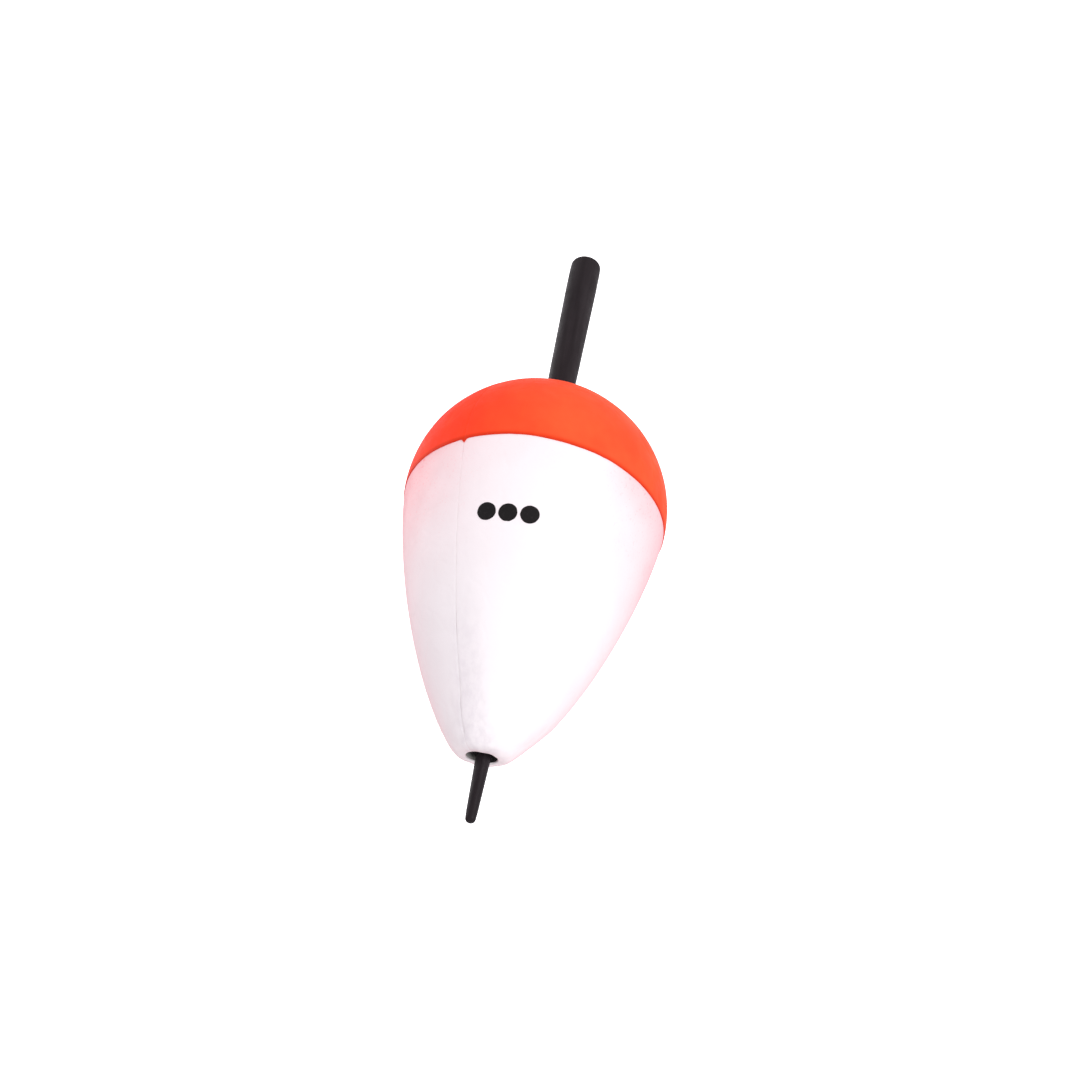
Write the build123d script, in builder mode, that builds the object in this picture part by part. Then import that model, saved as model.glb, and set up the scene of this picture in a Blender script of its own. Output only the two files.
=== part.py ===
from build123d import *

import os
from math import cos, radians, sin, tan

# Slotted peg float: a foam pear with a bore along its axis and a slit from its side into
# the bore. The line goes in through the slit, and a tapered peg pinches it in the bore.
# The origin is on the axis, in the plane of the body's lower end, and +Z runs up the axis
# to the head of the peg. Everything is in millimetres and degrees.

# Body, measured over its white paint
body_radius = 15.0  # radius of the ball that the upper half is
ball_height = 32.2  # height of the ball's centre
belly_angle = 7.5  # how far the ball goes on below its centre before the flank leaves it
belly_pull = 8.7  # length of the flank curve's upper handle
nose_pull = 8.4  # length of its lower handle
nose_radius = 2.6  # where the flank would meet the lower end
nose_slope = 45.0  # the flank's angle to the axis at that point
nose_round = 1.6  # rounding between the flank and the lower end
lip_round = 0.22  # rounding of both mouths of the bore

# Bore and slit
bore_radius = 1.63
slit_width = 0.12  # what is left open of the knife cut
slit_direction = 233.0  # the slit's azimuth, from +X towards +Y

# Paint and print
base_thickness = 0.12  # white base coat, all over the foam
dip_thickness = 0.08  # orange coat, over the white one
dip_height = 30.8  # lower edge of the orange coat
dip_start = 0.15  # how far outside the bore's wall the orange coat begins
ink_thickness = 0.03
dot_radius = 1.0
dot_pitch = 2.3
dot_count = 3
mark_direction = 258.0  # azimuth of the middle of the printed mark
mark_height = 21.8
mark_distance = 13.0  # the flank's radius there
mark_slope = 19.0  # the flank's angle to the axis there

# Peg
peg_top = 72.3
peg_seat = 68.0  # lower end of the parallel head
peg_head_radius = 1.9
peg_neck = 54.0  # height where the slight taper under the head turns into the long one
peg_neck_radius = 1.72
peg_waist_radius = 0.77  # radius in the plane of the body's lower end
peg_tip = -7.4
peg_tip_radius = 0.55
peg_head_round = 0.4
peg_tip_round = 0.48

# Room for the shapes that cut through the body
reach = 1.2 * body_radius
overshoot = 1.0
body_top = ball_height + body_radius
bare_wall = body_top - 3 * lip_round  # length of the bore's wall that no paint covers
mark_room = 4 * dot_radius
press_depth = 2 * dot_radius
quarter = 90.0
eighth = quarter / 2

os.makedirs("parts", exist_ok=True)


def polar(radius, angle):
    """The point at this distance and angle from the origin of a plane."""
    return Vector(radius * cos(radians(angle)), radius * sin(radians(angle)))


def body_section(depth):
    """Half section of the body, this deep inside its white paint, from the bore outwards."""
    wall = bore_radius + depth
    ball = body_radius - depth
    ball_centre = Vector(0, ball_height)
    mouth = ball_centre + Vector(wall, (ball**2 - wall**2) ** 0.5)
    belly = ball_centre + polar(ball, -belly_angle)
    nose = Vector(nose_radius - depth * tan(radians(quarter - nose_slope) / 2), depth)
    with BuildSketch(Plane.XZ) as section:
        with BuildLine():
            ThreePointArc(mouth, ball_centre + polar(ball, eighth), belly)
            Bezier(
                belly,
                belly + polar(belly_pull, -quarter - belly_angle),
                nose + polar(nose_pull, quarter - nose_slope),
                nose,
            )
            Polyline(nose, (wall, depth), mouth)
        make_face()
        fillet(section.vertices().group_by(Axis.Y)[0].sort_by(Axis.X)[-1], nose_round - depth)
        fillet(section.vertices().group_by(Axis.X)[0], lip_round - depth)
    return section.sketch_local


painted_body = body_section(0.0)

# The foam inside the paint. The paint turns over both lips and stops there, so between
# them the foam comes out to the wall of the bore.
with BuildSketch(Plane.XZ) as foam_section:
    add(body_section(base_thickness))
    with Locations((bore_radius, lip_round)):
        Rectangle(
            2 * base_thickness,
            bare_wall,
            align=(Align.MIN, Align.MIN),
        )

with BuildSketch(Plane.XZ) as base_section:
    add(painted_body)
    add(foam_section.sketch_local, mode=Mode.SUBTRACT)

# The orange coat lies on the white one, from the upper lip down to the dip line
with BuildSketch(Plane.XZ) as dip_section:
    add(body_section(-dip_thickness))
    add(painted_body, mode=Mode.SUBTRACT)
    with Locations((bore_radius + dip_start, dip_height)):
        Rectangle(reach, reach, align=(Align.MIN, Align.MIN), mode=Mode.INTERSECT)

# A skin as thick as the ink, which the dots of the mark are cut from
with BuildSketch(Plane.XZ) as ink_section:
    add(body_section(-ink_thickness))
    add(painted_body, mode=Mode.SUBTRACT)
    with Locations((mark_distance, mark_height)):
        Rectangle(mark_room, mark_room, mode=Mode.INTERSECT)

# The knife cut, from the axis out past the surface
slit_outward = polar(1, slit_direction)
slit_side = polar(1, slit_direction - quarter)
slit_plane = Plane(origin=(0, 0, 0), x_dir=slit_outward, z_dir=slit_side)
with BuildSketch(slit_plane) as slit_section:
    with Locations((0, -overshoot)):
        Rectangle(reach, body_top + 2 * overshoot, align=(Align.MIN, Align.MIN))

# The dots are pressed on straight, along the normal of the flank at their middle
mark_drop = Vector(0, 0, sin(radians(mark_slope)))
mark_outward = polar(cos(radians(mark_slope)), mark_direction) - mark_drop
mark_centre = polar(mark_distance, mark_direction) + Vector(0, 0, mark_height)
mark_along = polar(1, mark_direction + quarter)
with BuildSketch(Plane(origin=mark_centre, x_dir=mark_along, z_dir=mark_outward)) as dots:
    with GridLocations(dot_pitch, 0, dot_count, 1):
        Circle(dot_radius)

# The peg tapers slightly under its head, evenly through the body, and faster to its tip
with BuildSketch(Plane.XZ) as peg_section:
    with BuildLine():
        Polyline(
            (0, peg_tip),
            (peg_tip_radius, peg_tip),
            (peg_waist_radius, 0),
            (peg_neck_radius, peg_neck),
            (peg_head_radius, peg_seat),
            (peg_head_radius, peg_top),
            (0, peg_top),
            close=True,
        )
    make_face()
    fillet(vertices().group_by(Axis.Y)[0].sort_by(Axis.X)[-1], peg_tip_round)
    fillet(vertices().group_by(Axis.Y)[-1].sort_by(Axis.X)[-1], peg_head_round)


with BuildPart() as foam_core:
    revolve(foam_section.sketch, axis=Axis.Z)
    extrude(slit_section.sketch, amount=slit_width / 2, both=True, mode=Mode.SUBTRACT)
foam_core.part.label = "foam_core"
export_step(foam_core.part, "parts/foam_core.step")

with BuildPart() as white_coat:
    revolve(base_section.sketch, axis=Axis.Z)
    extrude(slit_section.sketch, amount=slit_width / 2, both=True, mode=Mode.SUBTRACT)
white_coat.part.label = "white_coat"
export_step(white_coat.part, "parts/white_coat.step")

with BuildPart() as orange_coat:
    revolve(dip_section.sketch, axis=Axis.Z)
    extrude(slit_section.sketch, amount=slit_width / 2, both=True, mode=Mode.SUBTRACT)
orange_coat.part.label = "orange_coat"
export_step(orange_coat.part, "parts/orange_coat.step")

with BuildPart() as printed_mark:
    revolve(ink_section.sketch, axis=Axis.Z)
    extrude(dots.sketch, amount=press_depth, both=True, mode=Mode.INTERSECT)
printed_mark.part.label = "printed_mark"
export_step(printed_mark.part, "parts/printed_mark.step")

with BuildPart() as peg:
    revolve(peg_section.sketch, axis=Axis.Z)
peg.part.label = "peg"
export_step(peg.part, "parts/peg.step")
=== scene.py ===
import math

import bpy
from mathutils import Matrix, Vector, noise


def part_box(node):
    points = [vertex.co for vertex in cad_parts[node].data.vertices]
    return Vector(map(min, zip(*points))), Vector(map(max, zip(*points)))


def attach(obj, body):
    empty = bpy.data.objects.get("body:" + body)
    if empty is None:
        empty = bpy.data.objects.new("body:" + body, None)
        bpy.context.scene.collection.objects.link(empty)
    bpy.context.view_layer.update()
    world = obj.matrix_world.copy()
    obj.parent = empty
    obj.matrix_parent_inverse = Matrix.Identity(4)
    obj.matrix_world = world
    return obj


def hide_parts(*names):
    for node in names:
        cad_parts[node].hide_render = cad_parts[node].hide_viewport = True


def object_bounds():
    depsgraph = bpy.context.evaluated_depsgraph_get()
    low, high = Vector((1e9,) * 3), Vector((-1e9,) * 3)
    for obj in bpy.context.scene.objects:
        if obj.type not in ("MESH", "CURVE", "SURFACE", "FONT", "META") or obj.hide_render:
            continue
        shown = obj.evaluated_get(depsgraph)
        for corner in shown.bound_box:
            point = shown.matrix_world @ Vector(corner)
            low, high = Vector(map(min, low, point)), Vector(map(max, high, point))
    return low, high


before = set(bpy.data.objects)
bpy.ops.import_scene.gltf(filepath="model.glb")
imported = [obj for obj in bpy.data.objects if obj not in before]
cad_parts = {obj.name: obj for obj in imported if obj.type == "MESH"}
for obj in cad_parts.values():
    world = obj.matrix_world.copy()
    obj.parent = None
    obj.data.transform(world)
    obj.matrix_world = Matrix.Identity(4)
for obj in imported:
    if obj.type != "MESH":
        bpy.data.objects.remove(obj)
CAD_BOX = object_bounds()

bl_info = {
    "name": "Slotted Peg Float",
    "version": (1, 0, 0),
    "blender": (4, 5, 0),
    "location": "View3D > Sidebar > Float",
    "description": "Models the paint, foam, ink and peg of a slotted fishing float",
    "category": "Add Mesh",
}

MM = 0.001
MIDDLE = (CAD_BOX[0] + CAD_BOX[1]) / 2
COAT_LOW, COAT_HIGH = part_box("white_coat")
DIP_LOW, DIP_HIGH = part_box("orange_coat")
MARK_LOW, MARK_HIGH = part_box("printed_mark")
PEG_LOW, PEG_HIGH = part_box("peg")
BALL_RADIUS = (COAT_HIGH.x - COAT_LOW.x) / 2
DIP_THICKNESS = (DIP_HIGH.x - DIP_LOW.x) / 2 - BALL_RADIUS

# How the paint turns down into the slit: the depth at its edge, lines at a distance from the
# middle with their depth, and the distance where the paint is level again.
LIP_DEPTH = 0.03 * MM
LIPS = ((0.06 * MM, 0.014 * MM), (0.15 * MM, 0.005 * MM))
LIP_WIDTH = 0.32 * MM

# How the pieces are made: steps round the axis, the distance at which vertices merge, the distance
# at which a cut keeps to an old vertex, how exactly a cut line is found again, and the angle up to
# which two faces are shaded as one.
PEAR_STEPS = 160
PEG_STEPS = 72
WELD = 0.001 * MM
CUT_SNAP = 0.0005 * MM
ON_LINE = 0.004 * MM
SMOOTH_ANGLE = math.radians(50)

# The room, in metres: each lamp has its place from the middle of the float, its width and its
# power in watts. The flag keeps the light of the surround off the lower left of the float.
FLOOR_RADIUS = 2.4
BACKDROP_RADIUS = 2.5
SURROUND_STRENGTH = 0.83
LAMPS = {
    "key": (Vector((0.34, -0.42, 0.02)), 0.36, 1.1),
    "fill": (Vector((-0.5, 0.08, 0.22)), 0.3, 0.5),
    "rim": (Vector((-0.4, 0.33, 0.3)), 0.3, 0.3),
}
FLAG_PLACE = Vector((-0.136, 0.077, -0.072))
FLAG_SIZE = 0.145


def linear(hex_colour):
    """An sRGB hex colour as linear red, green and blue."""
    channels = [int(hex_colour[i : i + 2], 16) / 255 for i in (0, 2, 4)]
    return [c / 12.92 if c <= 0.04045 else ((c + 0.055) / 1.055) ** 2.4 for c in channels]


def length(name, description, default):
    """A length that a user can change, in metres."""
    return bpy.props.FloatProperty(
        name=name, description=description, default=default, unit="LENGTH", precision=5
    )


def angle(name, description, degrees):
    """An angle that a user can change."""
    return bpy.props.FloatProperty(
        name=name, description=description, default=math.radians(degrees), unit="ROTATION"
    )


def colour(name, description, hex_colour):
    """A paint or plastic colour that a user can change."""
    return bpy.props.FloatVectorProperty(
        name=name,
        description=description,
        default=linear(hex_colour),
        subtype="COLOR",
        size=3,
        min=0.0,
        max=1.0,
    )


# ---------------------------------------------------------------- settings


class PearSettings(bpy.types.PropertyGroup):
    """Shape of the painted foam pear."""

    ball_radius: length("Ball Radius", "Radius of the upper half, over the paint", BALL_RADIUS)
    ball_height: length("Ball Height", "Height of the ball's centre", 32.2 * MM)
    belly_angle: angle("Belly Angle", "How far the ball goes on below its centre", 7.5)
    belly_pull: length("Belly Pull", "Upper handle of the flank curve", 8.7 * MM)
    nose_pull: length("Nose Pull", "Lower handle of the flank curve", 8.4 * MM)
    nose_radius: length("Nose Radius", "Where the flank would meet the lower end", 2.75 * MM)
    nose_slope: angle("Nose Slope", "Angle of the flank to the axis at its lower end", 45.0)
    nose_round: length("Nose Round", "Rounding between flank and lower end", 1.6 * MM)
    lip_round: length("Lip Round", "Rounding of both mouths of the bore", 0.22 * MM)
    bore_radius: length("Bore Radius", "Radius of the hole for the peg", 1.63 * MM)
    base_thickness: length("Base Coat", "Thickness of the white paint", 0.12 * MM)
    dip_thickness: length("Dip Coat", "Thickness of the orange paint", DIP_THICKNESS)
    dip_height: length("Dip Height", "Lower edge of the orange paint", DIP_LOW.z)
    slit_direction: angle("Slit Direction", "Azimuth of the knife cut", 233.0)
    slit_width: length("Slit Width", "Width of the cut inside the foam", 0.12 * MM)
    slit_gap: length("Slit Gap", "Least gap that the paint leaves over the cut", 0.005 * MM)
    slit_gape: length("Slit Gape", "How much wider the gap is in places", 0.028 * MM)
    end_tilt: angle("End Tilt", "How far the lower end faces forward; below 0 it faces back", -7.5)
    end_lean: angle("End Lean", "How far the lower end is askew to the side", 1.5)
    end_side: length("End Side", "How far the lower end is off the axis to the left", 0.15 * MM)
    end_back: length("End Back", "How far it is moved back, in line with the flank", 0.28 * MM)
    tilt_reach: length("Tilt Reach", "How far up the flank all that fades out", 7.0 * MM)


class SurfaceSettings(bpy.types.PropertyGroup):
    """Unevenness and colours of the paint, foam, ink and plastic."""

    swell: length("Swell", "Height of the moulding's slow waves", 0.07 * MM)
    swell_size: length("Swell Size", "Width of the moulding's slow waves", 9.0 * MM)
    bead: length("Bead", "Height of the foam beads under the paint", 0.018 * MM)
    bead_size: length("Bead Size", "Width of a foam bead", 2.4 * MM)
    dent: length("Dent", "Depth of the dents round the lower end", 0.13 * MM)
    dent_size: length("Dent Size", "Width of those dents", 1.2 * MM)
    dent_height: length("Dent Height", "How far up the dents reach", 9.0 * MM)
    white: colour("White Paint", "Colour of the base coat", "f5f1f3")
    # The pink serves for the orange overspray and for a painted reflection on the sides of the
    # white coat.
    mist_and_reflection: colour("Orange Mist", "Overspray on the white below the dip line", "ff8f96")
    orange: colour("Orange Paint", "Colour of the dipped head", "f85c34")
    # A painted glow: the colour that the orange paint emits, in place of its fluorescence.
    glow: colour("Orange Glow", "Light that the fluorescent pigment gives back", "ff2400")
    foam: colour("Foam", "Colour of the raw foam", "efeee9")
    ink: colour("Ink", "Colour of the printed mark", "0f0c0d")
    plastic: colour("Peg Plastic", "Colour of the peg", "1e181b")


class PegSettings(bpy.types.PropertyGroup):
    """Shape of the moulded peg."""

    head_radius: length("Head Radius", "Radius of the parallel head", (PEG_HIGH.x - PEG_LOW.x) / 2)
    head_length: length("Head Length", "Length of the parallel head", 4.3 * MM)
    neck_height: length("Neck Height", "Where the slight taper ends", 54.0 * MM)
    neck_radius: length("Neck Radius", "Radius there", 1.72 * MM)
    head_round: length("Head Round", "Rounding of the head's edge", 0.4 * MM)
    waist_radius: length("Waist Radius", "Radius in the plane of the body's lower end", 0.77 * MM)
    tip_radius: length("Tip Radius", "Radius just above the tip", 0.55 * MM)
    tip_round: length("Tip Round", "Rounding of the tip", 0.48 * MM)
    seam_height: length("Seam Height", "Height of the mould's parting line", 0.03 * MM)


class MarkSettings(bpy.types.PropertyGroup):
    """Shape of the printed mark."""

    direction: angle("Mark Direction", "Azimuth of the middle dot", 258.0)
    height: length("Mark Height", "Height of the middle dot", (MARK_LOW.z + MARK_HIGH.z) / 2)
    slope: angle("Mark Slope", "Angle of the flank to the axis there", 19.0)
    dot_radius: length("Dot Radius", "Radius of a dot", 1.0 * MM)
    dot_pitch: length("Dot Pitch", "Distance between two dots", 2.3 * MM)
    ink_thickness: length("Ink Thickness", "Thickness of the ink", 0.03 * MM)


class StageSettings(bpy.types.PropertyGroup):
    """Camera, lights and floor."""

    camera_distance: length("Camera Distance", "From the ball's centre", 180.0 * MM)
    camera_drop: angle("Camera Drop", "How far below the ball's centre the camera is", 36.46)
    aim_side: length("Aim Side", "How far right of the axis the camera points", 1.24 * MM)
    aim_height: length("Aim Height", "Height that the camera points at", 28.26 * MM)
    roll: angle("Roll", "How far the camera leans", 11.53)
    lens: bpy.props.FloatProperty(
        name="Lens", description="Focal length", default=52.46, min=1.0, unit="CAMERA"
    )
    floor_height: length("Floor Height", "Height of the floor under the held float", -200.0 * MM)


# ---------------------------------------------------------------- outlines


def polar(radius, turn):
    """The point at this distance and angle in a plane."""
    return Vector((radius * math.cos(turn), radius * math.sin(turn)))


def arc(centre, radius, start, end, steps):
    """Points along an arc, both ends included."""
    return [centre + polar(radius, start + (end - start) * i / steps) for i in range(steps + 1)]


def straight(start, end, steps):
    """Points along a straight line, without its last one."""
    return [start.lerp(end, i / steps) for i in range(steps)]


def bezier_point(handles, t):
    """A point of a cubic curve."""
    a, b, c, d = handles
    s = 1 - t
    return a * s**3 + b * 3 * s * s * t + c * 3 * s * t * t + d * t**3


def bezier_outward(handles, t):
    """The direction away from the axis side of a cubic curve that runs downwards."""
    step = 0.001
    along = bezier_point(handles, min(t + step, 1)) - bezier_point(handles, max(t - step, 0))
    return Vector((-along.y, along.x)).normalized()


def pear_outline(pear, depth):
    """Half section of the pear this deep under its paint, from the lower mouth up to the upper.
    Each point is a distance from the axis and a height."""
    wall = pear.bore_radius + depth
    ball = pear.ball_radius - depth
    lip = pear.lip_round - depth
    turn = pear.nose_round - depth
    centre = Vector((0, pear.ball_height))
    belly = centre + polar(ball, -pear.belly_angle)
    corner = (math.pi / 2 - pear.nose_slope) / 2
    nose = Vector((pear.nose_radius - depth * math.tan(corner), depth))
    handles = (
        belly,
        belly + polar(pear.belly_pull, -math.pi / 2 - pear.belly_angle),
        nose + polar(pear.nose_pull, math.pi / 2 - pear.nose_slope),
        nose,
    )
    low, high = 0.5, 1.0
    halvings = 40
    for _ in range(halvings):
        leave = (low + high) / 2
        hub = bezier_point(handles, leave) - bezier_outward(handles, leave) * turn
        low, high = (leave, high) if hub.y > depth + turn else (low, leave)
    facing = bezier_outward(handles, leave)
    lower_lip = Vector((wall + lip, depth + lip))
    upper_lip = Vector((wall + lip, 0))
    upper_lip.y = pear.ball_height + math.sqrt((ball - lip) ** 2 - (wall + lip) ** 2)
    crown_end = math.atan2(upper_lip.y - pear.ball_height, upper_lip.x)
    lip_steps = 7
    turn_steps = 8
    flank_steps = 110
    ball_steps = 58
    flank = [
        bezier_point(handles, leave * (1 - i / flank_steps)) for i in range(1, flank_steps)
    ]
    return [
        *arc(lower_lip, lip, -math.pi, -math.pi / 2, lip_steps),
        *arc(hub, turn, -math.pi / 2, math.atan2(facing.y, facing.x), turn_steps),
        *flank,
        *arc(centre, ball, -pear.belly_angle, crown_end, ball_steps),
        *arc(upper_lip, lip, crown_end, math.pi, lip_steps)[1:],
    ]


def height_cut(points, low):
    """The part of an outline above a height, starting exactly there."""
    above = [i for i, p in enumerate(points) if p.y > low]
    first = above[0]
    before, after = points[first - 1], points[first]
    start = before.lerp(after, (low - before.y) / (after.y - before.y))
    return [start, *points[first:]]


# ---------------------------------------------------------------- modelling


def select_none():
    """Leaves nothing selected and no object being edited."""
    if bpy.context.object and bpy.context.object.mode != "OBJECT":
        bpy.ops.object.mode_set(mode="OBJECT")
    bpy.ops.object.select_all(action="DESELECT")


def select_where(obj, kind, test):
    """Selects the vertices or faces of the edited object whose middle passes a test."""
    bpy.ops.object.mode_set(mode="OBJECT")
    mesh = obj.data
    for group in (mesh.vertices, mesh.edges, mesh.polygons):
        group.foreach_set("select", [False] * len(group))
    if kind == "VERT":
        chosen = [test(v.co) for v in mesh.vertices]
        mesh.vertices.foreach_set("select", chosen)
    else:
        chosen = [test(p.center) for p in mesh.polygons]
        mesh.polygons.foreach_set("select", chosen)
    bpy.ops.object.mode_set(mode="EDIT")
    bpy.ops.mesh.select_mode(type=kind)
    return sum(chosen)


def turn_on_lathe(name, outline, steps, direction, close=False):
    """Draws an outline of (radius, height) points and spins it round the axis."""
    select_none()
    outward = Vector((math.cos(direction), math.sin(direction), 0))
    places = [outward * p.x + Vector((0, 0, p.y)) for p in outline]
    bpy.ops.mesh.primitive_plane_add(size=MM, enter_editmode=True, location=(0, 0, 0))
    obj = bpy.context.object
    obj.name = obj.data.name = name
    bpy.ops.mesh.merge(type="CENTER")
    bpy.ops.transform.translate(value=places[0])
    for here, there in zip(places, places[1:]):
        bpy.ops.mesh.extrude_vertices_move(TRANSFORM_OT_translate={"value": there - here})
    if close:
        bpy.ops.mesh.select_all(action="SELECT")
        bpy.ops.mesh.remove_doubles(threshold=WELD)
    bpy.ops.mesh.select_all(action="SELECT")
    bpy.ops.mesh.spin(steps=steps, angle=math.tau, center=(0, 0, 0), axis=(0, 0, 1))
    bpy.ops.mesh.select_all(action="SELECT")
    bpy.ops.mesh.remove_doubles(threshold=WELD)
    bpy.ops.mesh.normals_make_consistent(inside=False)
    bpy.ops.object.mode_set(mode="OBJECT")
    return obj


def apply_modifier(obj, kind, **settings):
    """Adds a modifier with its settings and applies it."""
    modifier = obj.modifiers.new(kind.title(), kind)
    for key, value in settings.items():
        setattr(modifier, key, value)
    bpy.context.view_layer.objects.active = obj
    bpy.ops.object.modifier_apply(modifier=modifier.name)


def noise_texture(name, kind, size, **settings):
    """A procedural texture for the Displace modifier."""
    texture = bpy.data.textures.get(name) or bpy.data.textures.new(name, kind)
    texture.noise_scale = size
    for key, value in settings.items():
        setattr(texture, key, value)
    return texture


def roughen(obj, surface):
    """Gives a skin the slow swell and beads of moulded foam, and dents round the lower end.
    Every skin of the pear passes the same noise, so that they stay as far apart as they were."""
    nose = obj.vertex_groups.new(name="nose")
    gain = 1.4
    dent_level = 0.6
    for v in obj.data.vertices:
        reach = 1 - v.co.z / surface.dent_height
        if reach > 0:
            nose.add([v.index], min(1.0, reach * gain), "REPLACE")
    swell = noise_texture("swell", "CLOUDS", surface.swell_size, noise_depth=1)
    beads = noise_texture("beads", "VORONOI", surface.bead_size)
    dents = noise_texture("dents", "CLOUDS", surface.dent_size, noise_depth=2)
    apply_modifier(obj, "DISPLACE", texture=swell, texture_coords="LOCAL", strength=surface.swell)
    apply_modifier(obj, "DISPLACE", texture=beads, texture_coords="LOCAL", strength=surface.bead)
    apply_modifier(
        obj,
        "DISPLACE",
        texture=dents,
        texture_coords="LOCAL",
        strength=surface.dent,
        mid_level=dent_level,
        vertex_group="nose",
    )
    obj.vertex_groups.clear()


def slit_axes(pear):
    """The direction that the slit faces and the direction across it."""
    turn = pear.slit_direction
    outward = Vector((math.cos(turn), math.sin(turn), 0))
    return outward, Vector((-outward.y, outward.x, 0))


def cut_slit(obj, pear, width, lines=()):
    """Takes a strip this wide out of a skin, along the slit. Lines are further cuts, at these
    distances from the middle, which the lips of the slit are then shaped by."""
    outward, across = slit_axes(pear)
    near = 1.2 * MM
    bpy.context.view_layer.objects.active = obj
    for distance in (width / 2, *lines):
        for side in (-1, 1):
            select_where(
                obj,
                "FACE",
                lambda p: abs(p.dot(across)) < near and p.dot(outward) > 0,
            )
            bpy.ops.mesh.bisect(
                plane_co=across * side * distance, plane_no=across, threshold=CUT_SNAP
            )
    select_where(
        obj, "FACE", lambda p: abs(p.dot(across)) < width / 2 and p.dot(outward) > 0
    )
    bpy.ops.mesh.delete(type="FACE")
    bpy.ops.object.mode_set(mode="OBJECT")


def sink_lips(obj, pear, lines):
    """Pulls the paint down into the slit: each line is a distance from the middle and a depth."""
    outward, across = slit_axes(pear)
    for distance, depth in lines:
        select_where(
            obj,
            "VERT",
            lambda p: abs(abs(p.dot(across)) - distance) < ON_LINE and p.dot(outward) > 0,
        )
        bpy.ops.transform.shrink_fatten(value=-depth)
    bpy.ops.object.mode_set(mode="OBJECT")


def slit_paint(obj, pear):
    """Slits a skin of paint and turns its edges down into the slit."""
    cut_slit(obj, pear, pear.slit_gap, [distance for distance, _ in LIPS] + [LIP_WIDTH])
    sink_lips(obj, pear, ((pear.slit_gap / 2, LIP_DEPTH), *LIPS))


def gape_slit(obj, pear):
    """Opens the slit by a little here and there, most low down, where the paint has cracked
    further."""
    outward, across = slit_axes(pear)
    seed = Vector((3.1, 0.7, 0))
    wave_length = 2.2 * MM
    fade_height = CAD_BOX[1].z * 0.6
    least_wave = -0.12
    most_share = 1.15
    for v in obj.data.vertices:
        aside = v.co.dot(across)
        if abs(aside) < pear.slit_gap and v.co.dot(outward) > 0:
            wave = noise.noise(seed + Vector((0, 0, v.co.z / wave_length)))
            low_down = most_share - v.co.z / fade_height
            open_by = max(0.0, wave - least_wave) * max(0.0, low_down) * pear.slit_gape
            v.co += across * math.copysign(open_by / 2, aside)


def tilt_end(obj, pear):
    """Turns the lower end askew, as it came out of its mould, and fades that out up the flank."""
    fade = {
        "use_proportional_edit": True,
        "proportional_edit_falloff": "SMOOTH",
        "proportional_size": pear.tilt_reach,
    }
    end_height = 0.35 * MM
    select_where(obj, "VERT", lambda p: p.z < end_height)
    for axis, turn in (("X", pear.end_tilt), ("Y", pear.end_lean)):
        bpy.ops.transform.rotate(
            value=turn, orient_axis=axis, center_override=(0, 0, 0), **fade
        )
    bpy.ops.transform.translate(value=(-pear.end_side, pear.end_back, 0), **fade)
    bpy.ops.object.mode_set(mode="OBJECT")


def finish_piece(obj, material, body, slot, *nodes):
    """Smooths and paints a piece, and ties it to the frame."""
    select_none()
    obj.select_set(True)
    bpy.context.view_layer.objects.active = obj
    bpy.ops.object.transform_apply(location=True, rotation=True, scale=True)
    bpy.ops.object.shade_smooth_by_angle(angle=SMOOTH_ANGLE)
    obj.data.materials.clear()
    obj.data.materials.append(material)
    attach(obj, body)
    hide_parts(*nodes)
    select_none()


# ---------------------------------------------------------------- materials


def add_node(tree, kind, inputs=None, **settings):
    """Adds a node, sets its properties, and sets or links its inputs."""
    node = tree.nodes.new(kind)
    for key, value in settings.items():
        setattr(node, key, value)
    for key, value in (inputs or {}).items():
        if isinstance(value, bpy.types.NodeSocket):
            tree.links.new(value, node.inputs[key])
        else:
            node.inputs[key].default_value = value
    return node


def new_material(name, **sockets):
    """A material with only a Principled shader, and the shader's even values set."""
    material = bpy.data.materials.new(name)
    material.use_nodes = True
    tree = material.node_tree
    shader = next(n for n in tree.nodes if n.type == "BSDF_PRINCIPLED")
    for key, value in sockets.items():
        shader.inputs[key.replace("_", " ").title().replace("Ior", "IOR")].default_value = value
    return material, tree, shader


def rgba(rgb):
    """A colour with full alpha."""
    return (*rgb, 1.0)


def blend_colours(tree, factor, first, second):
    """Mixes two colours by a factor between 0 and 1."""
    mix = add_node(tree, "ShaderNodeMix", {"Factor": factor}, data_type="RGBA")
    for socket, value in ((mix.inputs[6], first), (mix.inputs[7], second)):
        if isinstance(value, bpy.types.NodeSocket):
            tree.links.new(value, socket)
        else:
            socket.default_value = rgba(value)
    return mix.outputs[2]


def grain(tree, size, detail=2.0, roughness=0.5, stretch=(1, 1, 1)):
    """Noise whose grains are this wide, in metres, on the object's own coordinates."""
    place = add_node(tree, "ShaderNodeTexCoord").outputs["Object"]
    scaled = add_node(
        tree, "ShaderNodeMapping", {"Vector": place, "Scale": [s / size for s in stretch]}
    )
    return add_node(
        tree,
        "ShaderNodeTexNoise",
        {"Vector": scaled.outputs[0], "Scale": 1.0, "Detail": detail, "Roughness": roughness},
    ).outputs["Fac"]


def ramp(tree, value, low, high, out_low=0.0, out_high=1.0, smooth=True):
    """Maps a value from one range to another and clamps it."""
    return add_node(
        tree,
        "ShaderNodeMapRange",
        {"Value": value, "From Min": low, "From Max": high, "To Min": out_low, "To Max": out_high},
        interpolation_type="SMOOTHSTEP" if smooth else "LINEAR",
    ).outputs["Result"]


def calculate(tree, operation, first, second=0.0):
    """One step of arithmetic on node values."""
    return add_node(
        tree, "ShaderNodeMath", {0: first, 1: second}, operation=operation
    ).outputs[0]


def bump(tree, height, depth, below=None):
    """A bump this deep, in metres, over another one."""
    inputs = {"Height": height, "Distance": depth, "Strength": 1.0}
    if below is not None:
        inputs["Normal"] = below
    return add_node(tree, "ShaderNodeBump", inputs).outputs["Normal"]


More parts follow.
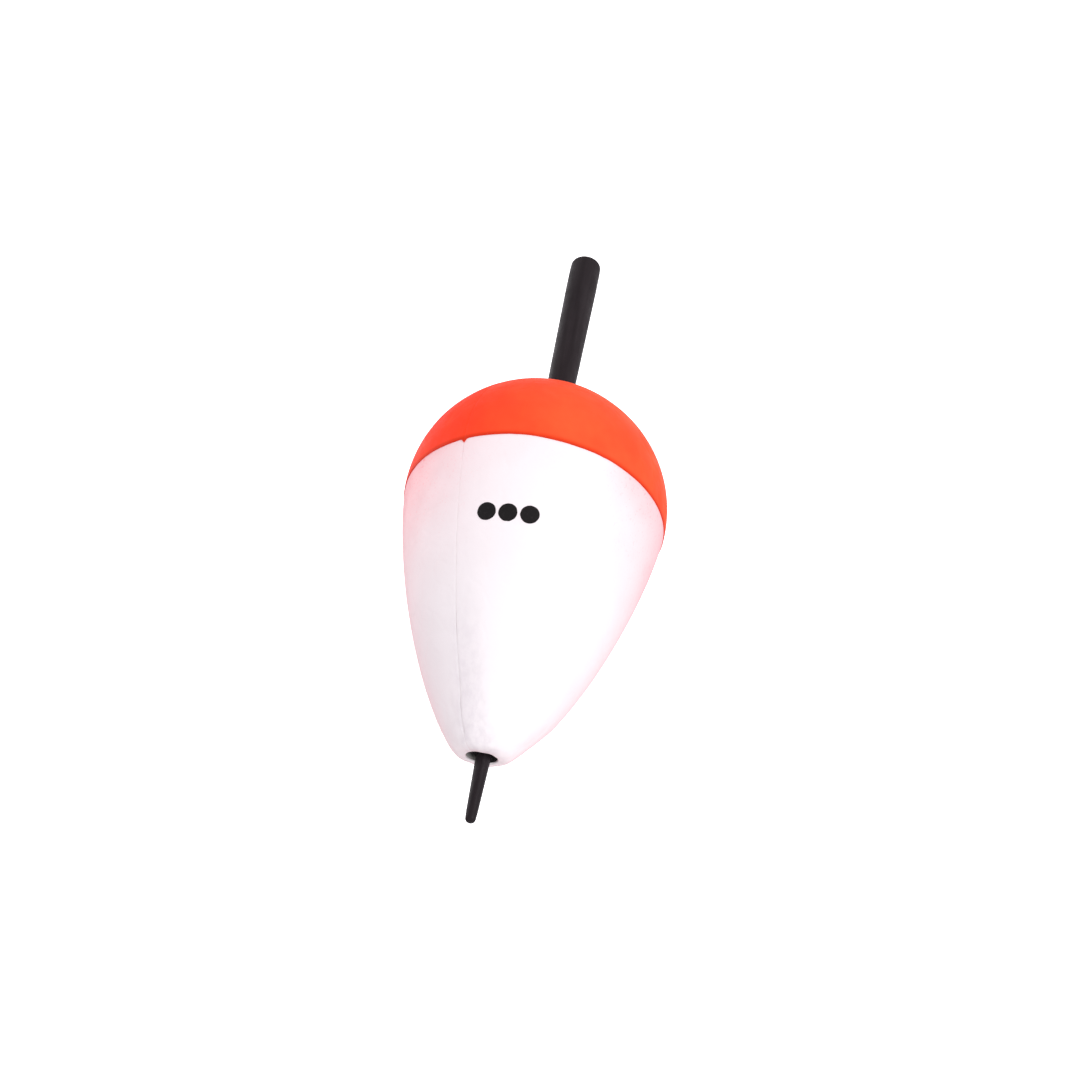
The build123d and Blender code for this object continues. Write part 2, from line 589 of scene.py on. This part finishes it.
def bead_pattern(tree, size):
    """Distance to the seams between foam beads, 0 at a seam and 1 well inside a bead."""
    place = add_node(tree, "ShaderNodeTexCoord").outputs["Object"]
    scaled = add_node(tree, "ShaderNodeMapping", {"Vector": place, "Scale": [1 / size] * 3})
    cells = add_node(
        tree,
        "ShaderNodeTexVoronoi",
        {"Vector": scaled.outputs[0], "Scale": 1.0},
        feature="DISTANCE_TO_EDGE",
    )
    return ramp(tree, cells.outputs["Distance"], 0.0, 0.16)


def sprayed_white_paint(pear, surface):
    """Sprayed white vinyl paint on foam: a satin skin with a fine orange peel, through which the
    seams of the foam beads just show, and a pink tint below the dip line that is partly orange
    overspray and partly a painted reflection, strongest on the left and right sides. A streaked
    grey band lies beside the lower part of the slit."""
    material, tree, shader = new_material(
        "sprayed white vinyl paint",
        roughness=0.5,
        ior=1.47,
        sheen_weight=0.45,
        sheen_roughness=0.5,
        sheen_tint=rgba(linear("ff8a9a")),
    )
    place = add_node(tree, "ShaderNodeTexCoord").outputs["Object"]
    split = add_node(tree, "ShaderNodeSeparateXYZ", {0: place}).outputs
    # Below the dip line the pink tint fades downwards; it is partly orange overspray and partly a
    # painted reflection.
    fall = ramp(tree, split["Z"], pear.dip_height - 20 * MM, pear.dip_height, smooth=False)
    thin = calculate(tree, "POWER", fall, 1.8)
    # Painted reflection: the pink tint grows towards the left and right sides, where X is far from
    # 0, in patches.
    sides = ramp(tree, calculate(tree, "ABSOLUTE", split["X"]), 4 * MM, 14.5 * MM, 0.22, 1.6)
    patches = ramp(tree, grain(tree, 9 * MM), 0.3, 0.7, 0.6, 1.0)
    side_painted_reflection = calculate(tree, "MULTIPLY", sides, patches)
    mist_and_reflection = calculate(tree, "MULTIPLY", calculate(tree, "MULTIPLY", thin, side_painted_reflection), 0.4)
    specks = ramp(tree, grain(tree, 0.28 * MM, 1.0), 0.6, 0.74, 0.0, 0.5)
    speckled = calculate(tree, "ADD", mist_and_reflection, calculate(tree, "MULTIPLY", specks, mist_and_reflection))
    dust = ramp(tree, grain(tree, 4.5 * MM, 4.0, 0.6), 0.4, 0.75, 0.0, 0.06)
    soiled = blend_colours(tree, dust, surface.white, linear("cfc9c6"))
    outward, across = slit_axes(pear)
    aside = add_node(
        tree, "ShaderNodeVectorMath", {0: place, 1: across}, operation="DOT_PRODUCT"
    ).outputs["Value"]
    ahead = add_node(
        tree, "ShaderNodeVectorMath", {0: place, 1: outward}, operation="DOT_PRODUCT"
    ).outputs["Value"]
    # A streaked grey band beside the lower part of the slit, on the side the slit faces.
    beside = calculate(tree, "SUBTRACT", aside, 0.9 * MM)
    band = ramp(tree, calculate(tree, "ABSOLUTE", beside), 0.6 * MM, 2.6 * MM, 1.0, 0.0)
    low = ramp(tree, split["Z"], 3 * MM, 17 * MM, 1.0, 0.0)
    streaks = ramp(tree, grain(tree, 0.9 * MM, 3.0, 0.6, (1, 1, 0.5)), 0.35, 0.7, 0.1, 0.3)
    lower_slit_band = calculate(tree, "MULTIPLY", calculate(tree, "MULTIPLY", band, low), streaks)
    lower_slit_band = calculate(tree, "MULTIPLY", lower_slit_band, ramp(tree, ahead, 0.0, 1 * MM))
    soiled = blend_colours(tree, lower_slit_band, soiled, linear("c4bcc6"))
    tree.links.new(
        blend_colours(tree, speckled, soiled, surface.mist_and_reflection), shader.inputs["Base Color"]
    )
    wear = ramp(tree, grain(tree, 3 * MM, 3.0), 0.3, 0.7, 0.44, 0.58)
    tree.links.new(wear, shader.inputs["Roughness"])
    beads = bump(tree, bead_pattern(tree, 2.4 * MM), 0.012 * MM)
    peel = bump(tree, grain(tree, 0.45 * MM, 2.0), 0.012 * MM, beads)
    tree.links.new(peel, shader.inputs["Normal"])
    return material


def dipped_orange_paint(pear, surface):
    """Fluorescent orange vinyl dip: a satin skin with a painted glow in place of the light its
    pigment gives back, random deeper patches, painted shade that deepens the colour towards the
    left side, and painted shade along the lower edge."""
    material, tree, shader = new_material(
        "dipped fluorescent orange vinyl",
        roughness=0.45,
        ior=1.47,
        specular_ior_level=0.04,
        # Painted glow: the emission lights the orange the same under any lamp, in place of the
        # light its fluorescent pigment gives back.
        emission_color=rgba(surface.glow),
        emission_strength=0.14,
    )
    thick = ramp(tree, grain(tree, 7 * MM, 3.0, 0.55), 0.3, 0.75)
    place = add_node(tree, "ShaderNodeTexCoord").outputs["Object"]
    split = add_node(tree, "ShaderNodeSeparateXYZ", {0: place}).outputs
    # Painted shade: the colour darkens within 0.7 mm of the lower edge of the dip.
    edge = ramp(tree, split["Z"], pear.dip_height, pear.dip_height + 0.7 * MM, 0.75, 0.0)
    # Painted shade: the colour deepens towards the left side, where X is low.
    left_painted_shade = ramp(tree, split["X"], -14 * MM, 2 * MM, 0.6, 0.0)
    even = blend_colours(tree, thick, surface.orange, linear("f74e2c"))
    even = blend_colours(tree, left_painted_shade, even, linear("ee1a12"))
    even = blend_colours(tree, edge, even, linear("b02a10"))
    streaks = ramp(tree, grain(tree, 1.6 * MM, 2.0, 0.5, (1, 1, 0.25)), 0.45, 0.8, 0.0, 0.12)
    tree.links.new(
        blend_colours(tree, streaks, even, linear("ff6430")), shader.inputs["Base Color"]
    )
    wear = ramp(tree, grain(tree, 2.5 * MM, 3.0), 0.3, 0.7, 0.4, 0.55)
    tree.links.new(wear, shader.inputs["Roughness"])
    beads = bump(tree, bead_pattern(tree, 2.4 * MM), 0.01 * MM)
    peel = bump(tree, grain(tree, 0.5 * MM, 2.0), 0.012 * MM, beads)
    tree.links.new(peel, shader.inputs["Normal"])
    return material


def expanded_foam(pear, surface):
    """Expanded polystyrene as cut and moulded: matt off-white beads with darker seams. The wall
    of the bore is darkened towards black as painted shade deep in the narrow bore, less so at the
    left of the lower mouth."""
    material, tree, shader = new_material("expanded polystyrene foam", roughness=0.85, ior=1.5)
    seams = bead_pattern(tree, 1.1 * MM)
    shade = calculate(tree, "SUBTRACT", 1.0, seams)
    clean = blend_colours(
        tree, calculate(tree, "MULTIPLY", shade, 0.5), surface.foam, linear("b9b6ae")
    )
    place = add_node(tree, "ShaderNodeTexCoord").outputs["Object"]
    split = add_node(tree, "ShaderNodeSeparateXYZ", {0: place}).outputs
    flat = add_node(tree, "ShaderNodeCombineXYZ", {0: split["X"], 1: split["Y"]}).outputs[0]
    radius = add_node(tree, "ShaderNodeVectorMath", {0: flat}, operation="LENGTH").outputs["Value"]
    # Painted shade: the bore wall darkens deeper inside the bore, and less towards the left of the
    # lower mouth.
    inside = ramp(tree, radius, pear.bore_radius + 0.3 * MM, pear.bore_radius + 0.6 * MM, 1.0, 0.0)
    depth = calculate(tree, "ADD", split["Z"], calculate(tree, "MULTIPLY", split["X"], 0.35))
    black = calculate(tree, "MULTIPLY", inside, ramp(tree, depth, -0.4 * MM, 0.7 * MM, 0.3, 0.97))
    tree.links.new(
        blend_colours(tree, black, clean, linear("141012")), shader.inputs["Base Color"]
    )
    cells = bump(tree, seams, 0.08 * MM)
    tree.links.new(
        bump(tree, grain(tree, 0.2 * MM, 2.0), 0.02 * MM, cells), shader.inputs["Normal"]
    )
    return material


def pad_printed_ink(surface):
    """Pad-printed black ink: a thin matt film, a little starved in places."""
    material, tree, shader = new_material(
        "pad-printed black ink", roughness=0.5, ior=1.5, specular_ior_level=0.2
    )
    starved = ramp(tree, grain(tree, 0.25 * MM, 3.0, 0.6), 0.55, 0.8, 0.0, 0.5)
    tree.links.new(
        blend_colours(tree, starved, surface.ink, linear("3a3335")), shader.inputs["Base Color"]
    )
    tree.links.new(
        bump(tree, grain(tree, 0.2 * MM, 2.0), 0.006 * MM), shader.inputs["Normal"]
    )
    return material


def moulded_black_plastic(surface):
    """Injection-moulded black polypropylene with a spark-eroded matt surface and faint flow
    streaks along its length."""
    material, tree, shader = new_material(
        "moulded black polypropylene", roughness=0.5, ior=1.49, specular_ior_level=0.14
    )
    streaks = ramp(tree, grain(tree, 0.8 * MM, 3.0, 0.5, (1, 1, 0.08)), 0.35, 0.7)
    tree.links.new(
        blend_colours(tree, streaks, surface.plastic, linear("282225")),
        shader.inputs["Base Color"],
    )
    tree.links.new(
        ramp(tree, grain(tree, 1.5 * MM, 3.0), 0.3, 0.7, 0.42, 0.58), shader.inputs["Roughness"]
    )
    tree.links.new(
        bump(tree, grain(tree, 0.16 * MM, 2.0), 0.008 * MM), shader.inputs["Normal"]
    )
    return material


def studio_surface(name, hex_colour, glow=0.0):
    """A plain matt surface for the stage."""
    material, tree, shader = new_material(name, roughness=0.9, specular_ior_level=0.2)
    shader.inputs["Base Color"].default_value = rgba(linear(hex_colour))
    shader.inputs["Emission Color"].default_value = rgba(linear(hex_colour))
    shader.inputs["Emission Strength"].default_value = glow
    return material


# ---------------------------------------------------------------- operators


class FLOAT_OT_foam_core(bpy.types.Operator):
    """Model the foam pear with its bore and its knife cut"""

    bl_idname = "float.foam_core"
    bl_label = "Foam Core"

    def execute(self, context):
        pear, surface = context.scene.pear_settings, context.scene.surface_settings
        under_paint = 0.01 * MM
        lip_to_wall = Vector((0, 0.05 * MM))
        levels = 24
        outline = pear_outline(pear, pear.base_thickness + under_paint)
        wall_low = Vector((pear.bore_radius, outline[0].y)) + lip_to_wall
        wall_high = Vector((pear.bore_radius, outline[-1].y)) - lip_to_wall
        ring = [*outline, *straight(wall_high, wall_low, levels), wall_low, outline[0]]
        obj = turn_on_lathe("foam_pear", ring, PEAR_STEPS, pear.slit_direction, close=True)
        roughen(obj, surface)
        cut_slit(obj, pear, pear.slit_width)
        outward, across = slit_axes(pear)
        for side in (-1, 1):
            select_where(
                obj,
                "VERT",
                lambda p: abs(p.dot(across) - side * pear.slit_width / 2) < WELD
                and p.dot(outward) > 0,
            )
            bpy.ops.mesh.edge_face_add()
        bpy.ops.mesh.select_all(action="SELECT")
        bpy.ops.mesh.normals_make_consistent(inside=False)
        bpy.ops.object.mode_set(mode="OBJECT")
        tilt_end(obj, pear)
        finish_piece(obj, expanded_foam(pear, surface), "pear", "foam", "foam_core")
        return {"FINISHED"}


class FLOAT_OT_white_coat(bpy.types.Operator):
    """Model the white base coat over the foam"""

    bl_idname = "float.white_coat"
    bl_label = "White Coat"

    def execute(self, context):
        pear, surface = context.scene.pear_settings, context.scene.surface_settings
        obj = turn_on_lathe("white_paint", pear_outline(pear, 0.0), PEAR_STEPS, pear.slit_direction)
        roughen(obj, surface)
        slit_paint(obj, pear)
        gape_slit(obj, pear)
        tilt_end(obj, pear)
        apply_modifier(obj, "SOLIDIFY", thickness=pear.base_thickness, offset=-1.0)
        finish_piece(
            obj, sprayed_white_paint(pear, surface), "pear", "white_paint", "white_coat"
        )
        return {"FINISHED"}


class FLOAT_OT_orange_coat(bpy.types.Operator):
    """Model the orange dip over the white coat, with its wandering lower edge"""

    bl_idname = "float.orange_coat"
    bl_label = "Orange Coat"

    def execute(self, context):
        pear, surface = context.scene.pear_settings, context.scene.surface_settings
        bare_points = 3
        whole = pear_outline(pear, -pear.dip_thickness)
        outline = height_cut(whole, pear.dip_height)[:-bare_points]
        obj = turn_on_lathe("orange_paint", outline, PEAR_STEPS, pear.slit_direction)
        roughen(obj, surface)
        slit_paint(obj, pear)
        self.let_edge_run(obj, pear)
        apply_modifier(obj, "SOLIDIFY", thickness=pear.dip_thickness, offset=-1.0)
        finish_piece(
            obj, dipped_orange_paint(pear, surface), "pear", "orange_paint", "orange_coat"
        )
        return {"FINISHED"}

    def let_edge_run(self, obj, pear):
        """Moves the lower edge up and down by a little, and down where paint ran at the slit."""
        outward, across = slit_axes(pear)
        slope = math.tan(pear.belly_angle)
        fade_height = 0.8 * MM
        run_width = 0.22 * MM
        run_length = 0.45 * MM
        waves = ((4 * MM, 0.07 * MM), (0.9 * MM, 0.03 * MM))
        for v in obj.data.vertices:
            share = 1 - (v.co.z - pear.dip_height) / fade_height
            if share < 0:
                continue
            drop = sum(noise.noise(v.co / width) * height for width, height in waves)
            if v.co.dot(outward) > 0:
                beside = v.co.dot(across) / run_width
                drop -= run_length * math.exp(-beside * beside)
            drop *= min(1.0, share)
            inward = Vector((v.co.x, v.co.y, 0)).normalized() * slope * drop
            v.co += Vector((0, 0, drop)) + inward


class FLOAT_OT_printed_mark(bpy.types.Operator):
    """Print the row of dots on the white coat"""

    bl_idname = "float.printed_mark"
    bl_label = "Printed Mark"

    def execute(self, context):
        mark, surface = context.scene.mark_settings, context.scene.surface_settings
        white = bpy.data.objects["white_paint"]
        outward = Vector((math.cos(mark.direction), math.sin(mark.direction), 0))
        along = Vector((-outward.y, outward.x, 0))
        facing = outward * math.cos(mark.slope) - Vector((0, 0, math.sin(mark.slope)))
        across = facing.cross(along)
        turn = Matrix((along, across, facing)).transposed()
        reach = 16 * MM
        flank = 13 * MM
        drop = math.tan(mark.slope) * (reach - flank)
        middle = outward * reach + Vector((0, 0, mark.height - drop))
        rings = 6
        wobble = 0.025
        wobble_size = 0.35 * MM
        dots = []
        for place in (-1, 0, 1):
            select_none()
            bpy.ops.mesh.primitive_circle_add(
                vertices=64, radius=mark.dot_radius, fill_type="NGON", enter_editmode=True
            )
            dot = bpy.context.object
            for _ in range(rings):
                bpy.ops.mesh.inset(thickness=mark.dot_radius / (rings + 1))
            bpy.ops.mesh.poke()
            bpy.ops.object.mode_set(mode="OBJECT")
            for v in dot.data.vertices:
                edge = (v.co.length / mark.dot_radius) ** 4
                seed = Vector((place * 3.7, 1.3, 0.4))
                v.co += v.co * edge * wobble * noise.noise(v.co / wobble_size + seed)
            dot.matrix_world = Matrix.Translation(
                middle + along * place * mark.dot_pitch
            ) @ turn.to_4x4()
            dots.append(dot)
        select_none()
        for dot in dots:
            dot.select_set(True)
        bpy.context.view_layer.objects.active = dots[0]
        bpy.ops.object.join()
        obj = dots[0]
        obj.name = obj.data.name = "ink_dots"
        bpy.ops.object.transform_apply(location=True, rotation=True, scale=True)
        pull = Matrix((along, across, facing))
        obj.data.transform(pull.to_4x4())
        obj.matrix_world = turn.to_4x4()
        apply_modifier(
            obj,
            "SHRINKWRAP",
            target=white,
            wrap_method="PROJECT",
            use_project_z=True,
            use_negative_direction=True,
            use_positive_direction=False,
            offset=0.0,
        )
        apply_modifier(obj, "SOLIDIFY", thickness=mark.ink_thickness, offset=0.9)
        finish_piece(obj, pad_printed_ink(surface), "pear", "black_ink", "printed_mark")
        return {"FINISHED"}


class FLOAT_OT_peg(bpy.types.Operator):
    """Model the tapered peg with the parting line of its mould"""

    bl_idname = "float.peg"
    bl_label = "Peg"

    def execute(self, context):
        peg, surface = context.scene.peg_settings, context.scene.surface_settings
        head, tip = PEG_HIGH.z, PEG_LOW.z
        seat = head - peg.head_length
        tip_hub = Vector((peg.tip_radius - peg.tip_round, tip + peg.tip_round))
        head_hub = Vector((peg.head_radius - peg.head_round, head - peg.head_round))
        lower = Vector((peg.tip_radius, tip + peg.tip_round))
        waist = Vector((peg.waist_radius, 0))
        neck = Vector((peg.neck_radius, peg.neck_height))
        shoulder = Vector((peg.head_radius, seat))
        outline = [
            Vector((0, tip)),
            *arc(tip_hub, peg.tip_round, -math.pi / 2, 0, 6)[:-1],
            *straight(lower, waist, 8),
            *straight(waist, neck, 50),
            *straight(neck, shoulder, 14),
            *straight(shoulder, Vector((peg.head_radius, head_hub.y)), 6),
            *arc(head_hub, peg.head_round, 0, math.pi / 2, 6),
            Vector((0, head)),
        ]
        obj = turn_on_lathe("moulded_peg", outline, PEG_STEPS, 0.0)
        self.raise_seam(obj, peg)
        finish_piece(obj, moulded_black_plastic(surface), "peg", "black_plastic", "peg")
        return {"FINISHED"}

    def raise_seam(self, obj, peg):
        """Raises the flash line that the two halves of the mould leave on both sides."""
        clear_of_axis = 0.3 * MM
        select_where(
            obj,
            "VERT",
            lambda p: abs(p.y) < WELD
            and abs(p.x) > clear_of_axis
            and PEG_LOW.z + peg.tip_round < p.z < PEG_HIGH.z - 2 * peg.head_round,
        )
        bpy.ops.transform.shrink_fatten(value=peg.seam_height)
        bpy.ops.object.mode_set(mode="OBJECT")


class FLOAT_OT_stage(bpy.types.Operator):
    """Set up the floor, the backdrop, the lights and the camera"""

    bl_idname = "float.stage"
    bl_label = "Stage"

    def execute(self, context):
        stage, pear = context.scene.stage_settings, context.scene.pear_settings
        self.add_room(stage)
        self.add_lights(context)
        self.add_camera(context, stage, pear)
        context.scene.view_settings.view_transform = "Standard"
        return {"FINISHED"}

    def add_room(self, stage):
        """A pale floor, a white backdrop all round, and a black flag out of sight."""
        select_none()
        bpy.ops.mesh.primitive_circle_add(
            vertices=96,
            radius=FLOOR_RADIUS,
            fill_type="NGON",
            location=(0, 0, stage.floor_height),
        )
        floor = bpy.context.object
        floor.name = "floor"
        floor.data.materials.append(studio_surface("pale studio floor", "f8f8f8", 0.1))
        bpy.ops.mesh.primitive_uv_sphere_add(segments=64, ring_count=32, radius=BACKDROP_RADIUS)
        backdrop = bpy.context.object
        backdrop.name = "backdrop"
        backdrop.data.materials.append(studio_surface("white studio backdrop", "ffffff", 1.0))
        for ray in ("diffuse", "glossy", "transmission", "shadow", "volume_scatter"):
            setattr(backdrop, f"visible_{ray}", False)
        bpy.ops.mesh.primitive_plane_add(
            size=FLAG_SIZE,
            location=MIDDLE + FLAG_PLACE,
            rotation=(-FLAG_PLACE).to_track_quat("Z", "Y").to_euler(),
        )
        flag = bpy.context.object
        flag.name = "flag"
        flag.data.materials.append(studio_surface("black felt flag", "0a0a0a"))
        flag.visible_camera = False
        select_none()

    def add_lights(self, context):
        """An even white surround, with a large soft key from the right of the camera, a weak fill
        from its left and a weaker rim light from behind the left edge."""
        world = bpy.data.worlds.new("studio surround")
        context.scene.world = world
        world.use_nodes = True
        sky = next(n for n in world.node_tree.nodes if n.type == "BACKGROUND")
        sky.inputs["Color"].default_value = rgba(linear("fffbff"))
        sky.inputs["Strength"].default_value = SURROUND_STRENGTH
        for name, (place, size, power) in LAMPS.items():
            bpy.ops.object.light_add(type="AREA", location=MIDDLE + place)
            lamp = bpy.context.object
            lamp.name = name
            lamp.data.shape = "DISK"
            lamp.data.size = size
            lamp.data.energy = power
            lamp.rotation_euler = (-place).to_track_quat("-Z", "Y").to_euler()
        select_none()

    def add_camera(self, context, stage, pear):
        """The camera looks up at the float from below its lower end, and leans to one side."""
        ball = Vector((0, 0, pear.ball_height))
        back = Vector((0, -math.cos(stage.camera_drop), -math.sin(stage.camera_drop)))
        place = ball + back * stage.camera_distance
        aim = Vector((stage.aim_side, 0, stage.aim_height))
        level = (aim - place).to_track_quat("-Z", "Y").to_matrix()
        bpy.ops.object.camera_add(location=place)
        camera = bpy.context.object
        lean = Matrix.Rotation(stage.roll, 3, "Z")
        camera.rotation_euler = (level @ lean).to_euler()
        camera.data.lens = stage.lens
        camera.data.clip_start = 0.005
        camera.data.clip_end = 20.0
        context.scene.camera = camera
        select_none()


class FLOAT_PT_sidebar(bpy.types.Panel):
    """Lists the pieces of the float"""

    bl_label = "Slotted Peg Float"
    bl_idname = "FLOAT_PT_sidebar"
    bl_space_type = "VIEW_3D"
    bl_region_type = "UI"
    bl_category = "Float"

    def draw(self, context):
        for operator in OPERATORS:
            self.layout.operator(operator.bl_idname)


SETTINGS = {
    "pear_settings": PearSettings,
    "surface_settings": SurfaceSettings,
    "peg_settings": PegSettings,
    "mark_settings": MarkSettings,
    "stage_settings": StageSettings,
}
OPERATORS = (
    FLOAT_OT_foam_core,
    FLOAT_OT_white_coat,
    FLOAT_OT_orange_coat,
    FLOAT_OT_printed_mark,
    FLOAT_OT_peg,
    FLOAT_OT_stage,
)


def register():
    """Registers the settings, the operators and the panel."""
    for name, group in SETTINGS.items():
        bpy.utils.register_class(group)
        setattr(bpy.types.Scene, name, bpy.props.PointerProperty(type=group))
    for cls in (*OPERATORS, FLOAT_PT_sidebar):
        bpy.utils.register_class(cls)


def unregister():
    """Takes them all away again."""
    for cls in (FLOAT_PT_sidebar, *reversed(OPERATORS)):
        bpy.utils.unregister_class(cls)
    for name, group in SETTINGS.items():
        delattr(bpy.types.Scene, name)
        bpy.utils.unregister_class(group)


def main():
    """Builds every piece in order."""
    register()
    bpy.ops.float.foam_core()
    bpy.ops.float.white_coat()
    bpy.ops.float.orange_coat()
    bpy.ops.float.printed_mark()
    bpy.ops.float.peg()
    bpy.ops.float.stage()


if __name__ == "__main__":
    main()
